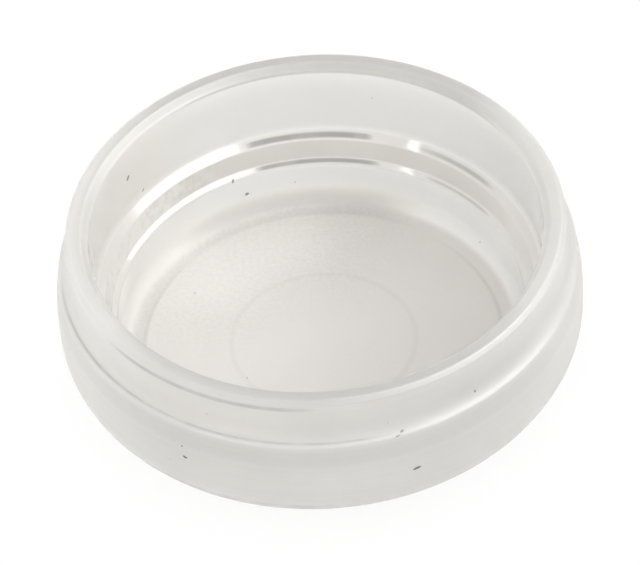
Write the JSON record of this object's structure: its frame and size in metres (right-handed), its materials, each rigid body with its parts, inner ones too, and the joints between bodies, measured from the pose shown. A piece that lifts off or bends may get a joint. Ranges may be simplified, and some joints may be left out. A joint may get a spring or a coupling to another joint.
{
  "type": "castor cup",
  "caption": "Round hazy clear plastic cup with a stepped recess and a rounded belt, which stands under a furniture castor or foot to spread its load and protect the floor.",
  "frame": {"origin": "centre of the flat underside that the cup stands on", "axes": "+Z along the cup's axis, up out of the mouth; +X and +Y are any two directions across it, because it is round"},
  "size_m": [0.06, 0.06, 0.0211],
  "materials": {
    "clear_plastic": "hazy clear, glossy, with a fine grain on the floor"
  },
  "bodies": {
    "root": {"castor_cup": "clear_plastic"}
  },
  "joints": []
}
